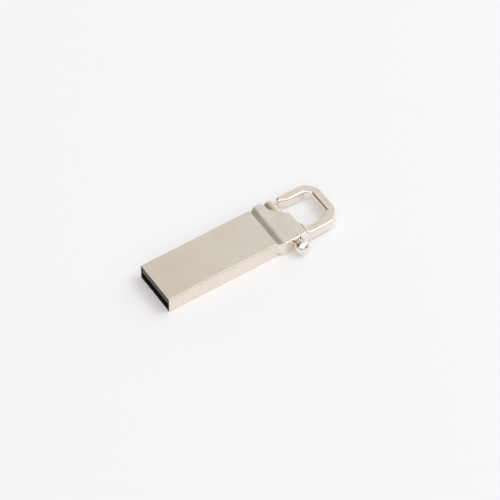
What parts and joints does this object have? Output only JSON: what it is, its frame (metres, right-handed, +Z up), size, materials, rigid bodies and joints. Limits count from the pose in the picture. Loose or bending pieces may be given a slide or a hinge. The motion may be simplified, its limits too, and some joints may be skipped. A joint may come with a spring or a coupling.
{
  "type": "usb flash drive",
  "caption": "Slim metal USB flash drive whose rectangular sleeve is itself the plug, with a snap hook behind it closed by a sprung bolt with a ball knob.",
  "frame": {"origin": "centre of the sleeve's underside, the face it rests on", "axes": "+X from the plug's mouth towards the hook, +Y towards the hook's gate, +Z up"},
  "size_m": [0.0482, 0.0168, 0.0045],
  "materials": {
    "satin_nickel": "satin pearl nickel plate",
    "bolt_nickel": "smooth nickel plate",
    "polished_nickel": "mirror polished nickel plate",
    "spring_steel": "drawn spring wire",
    "epoxy": "cured adhesive",
    "black_plastic": "fine moulded",
    "circuit_board": "solder mask",
    "mould_compound": "moulded epoxy",
    "silicon": "bare die",
    "chip_ceramic": "fired ceramic",
    "gold_plate": "thin gold plate"
  },
  "bodies": {
    "drive": {"sleeve": "satin_nickel", "hook_body": "satin_nickel", "bolt_spring": "spring_steel", "spigot_adhesive": "epoxy", "contact_tray": "black_plastic", "module_substrate": "circuit_board", "tray_adhesive_film": "epoxy", "module_mould": "mould_compound", "controller_die_film": "epoxy", "controller_die": "silicon", "memory_die_lower_film": "epoxy", "memory_die_lower": "silicon", "memory_die_upper_film": "epoxy", "memory_die_upper": "silicon", "bypass_capacitors": "chip_ceramic", "series_resistors": "chip_ceramic", "vbus_contact": "gold_plate", "data_minus_contact": "gold_plate", "data_plus_contact": "gold_plate", "ground_contact": "gold_plate"},
    "bolt": {"latch_bolt": "bolt_nickel", "ball_knob": "polished_nickel"}
  },
  "joints": [
    {"name": "bolt_slide", "type": "slide", "parent": "drive", "child": "bolt", "axis": [0, -1, 0], "range_m": [0, 0.004], "stiffness_N_per_m": 400, "springref_m": -0.003, "deforming": ["bolt_spring"]}
  ]
}
